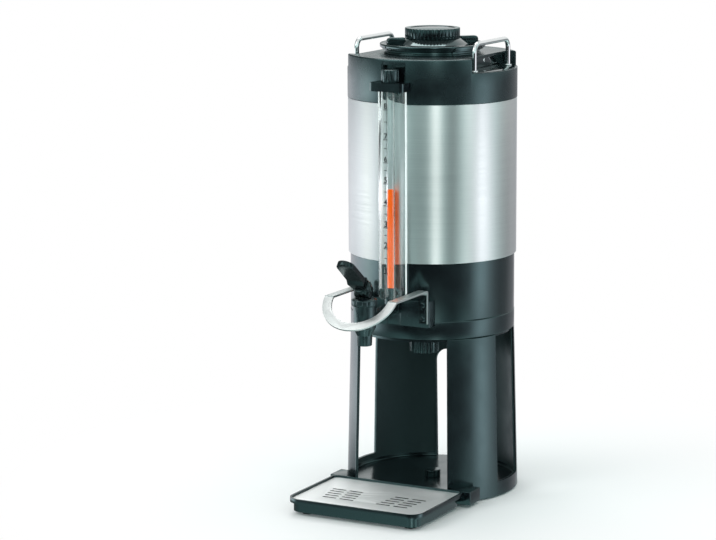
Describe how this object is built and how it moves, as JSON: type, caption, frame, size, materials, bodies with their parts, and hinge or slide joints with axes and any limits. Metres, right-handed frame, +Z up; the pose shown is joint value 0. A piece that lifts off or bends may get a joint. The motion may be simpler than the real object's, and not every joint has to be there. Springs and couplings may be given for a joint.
{
  "type": "insulated beverage dispenser",
  "caption": "Insulated drink dispenser: steel-jacketed vessel with screw lid, bail handles and sight gauge, guarded lever faucet, on a windowed stand with a drip tray.",
  "frame": {"origin": "on the surface, below the centre of the stand, on the centre foot's underside", "axes": "+Z up, -Y to the front where the faucet and drip tray are, +X to the right seen from the front"},
  "size_m": [0.237, 0.376, 0.6354],
  "materials": {
    "black_plastic": "satin moulded black",
    "satin_plastic": "satin dark grey-black",
    "brushed_steel": "brushed around",
    "sheet_steel": "polished sheet",
    "chrome": "bright plated",
    "rubber": "matt",
    "foam": "cut foam",
    "clear": "clear",
    "silicone": "soft white-grey"
  },
  "bodies": {
    "stand": {"stand_shell": "black_plastic", "stand_collar": "black_plastic", "stand_feet": "rubber", "centre_foot": "rubber", "foot_knob": "black_plastic", "clamp_stud": "sheet_steel", "tray_brackets": "black_plastic", "bracket_screws": "sheet_steel", "lower_cup": "black_plastic", "outer_jacket": "brushed_steel", "insulation": "foam", "inner_vessel": "sheet_steel", "outlet_pipe": "sheet_steel", "top_shell": "satin_plastic", "neck_ring": "black_plastic", "handle_left": "chrome", "handle_right": "chrome", "handle_bushings": "chrome", "handle_nuts": "sheet_steel", "faucet_housing": "satin_plastic", "faucet_shank": "satin_plastic", "shank_nut": "sheet_steel", "shank_washer": "rubber", "faucet_body": "satin_plastic", "faucet_bonnet": "satin_plastic", "valve_spring": "sheet_steel", "faucet_guard": "sheet_steel", "guard_screws": "black_plastic", "gauge_tube": "clear", "gauge_shield": "clear", "gauge_bracket": "black_plastic", "gauge_clip": "black_plastic", "gauge_seals": "silicone"},
    "tray": {"drip_tray": "black_plastic", "tray_feet": "rubber"},
    "grid": {"drip_grid": "sheet_steel"},
    "lid": {"lid_stopper": "black_plastic", "stopper_seal": "silicone"},
    "lid_ring": {"lid_flange": "black_plastic"},
    "plug": {"pouring_plug": "black_plastic", "plug_seal": "silicone"},
    "cap": {"lid_cap": "black_plastic"},
    "gauge_disc": {"gauge_liner": "silicone"},
    "gauge_knob": {"gauge_cap": "black_plastic"},
    "stem": {"valve_stem": "satin_plastic", "seat_cup": "silicone"},
    "lever": {"faucet_lever": "black_plastic", "lever_pin": "sheet_steel"},
    "clamp_ring": {"clamp_washer": "sheet_steel"},
    "clamp_knob": {"clamp_nut": "satin_plastic"}
  },
  "joints": [
    {"name": "tray_slide", "type": "slide", "parent": "stand", "child": "tray", "axis": [0, -1, 0], "range_m": [0, 0.16]},
    {"name": "grid_lift", "type": "slide", "parent": "tray", "child": "grid", "axis": [0, 0, 1], "range_m": [0, 0.08]},
    {"name": "lid_lift", "type": "slide", "parent": "stand", "child": "lid", "axis": [0, 0, 1], "range_m": [0, 0.12]},
    {"name": "lid_ring_turn", "type": "hinge", "parent": "lid", "child": "lid_ring", "pos_m": [0, 0, 0.611], "axis": [0, 0, 1], "range_deg": [0, 60]},
    {"name": "cap_turn", "type": "hinge", "parent": "plug", "child": "cap", "pos_m": [0, 0, 0.628], "axis": [0, 0, 1], "range_deg": [0, 180]},
    {"name": "plug_rise", "type": "slide", "parent": "lid", "child": "plug", "axis": [0, 0, 1], "range_m": [0, 0.004]},
    {"name": "gauge_cap_turn", "type": "hinge", "parent": "gauge_disc", "child": "gauge_knob", "pos_m": [0, -0.123, 0.581], "axis": [0, 0, 1], "range_deg": [0, 720]},
    {"name": "gauge_disc_rise", "type": "slide", "parent": "stand", "child": "gauge_disc", "axis": [0, 0, 1], "range_m": [0, 0.003]},
    {"name": "lever_pull", "type": "hinge", "parent": "stem", "child": "lever", "pos_m": [0, -0.197, 0.30736], "axis": [1, 0, 0], "range_deg": [-52, 0]},
    {"name": "valve_lift", "type": "slide", "parent": "stand", "child": "stem", "axis": [0, 0, 1], "range_m": [-0.004, 0], "deforming": ["valve_spring"]},
    {"name": "clamp_turn", "type": "hinge", "parent": "clamp_ring", "child": "clamp_knob", "pos_m": [0, -0.025, 0.21], "axis": [0, 0, 1], "range_deg": [-720, 0]},
    {"name": "clamp_drop", "type": "slide", "parent": "stand", "child": "clamp_ring", "axis": [0, 0, 1], "range_m": [-0.0035, 0]}
  ],
  "couplings": [
    {"joint": "plug_rise", "follows": "cap_turn", "m_per_rad": 0.0012732},
    {"joint": "gauge_disc_rise", "follows": "gauge_cap_turn", "m_per_rad": 0.00023873},
    {"joint": "valve_lift", "follows": "lever_pull", "m_per_rad": 0.0044074},
    {"joint": "clamp_drop", "follows": "clamp_turn", "m_per_rad": 0.00027852}
  ]
}
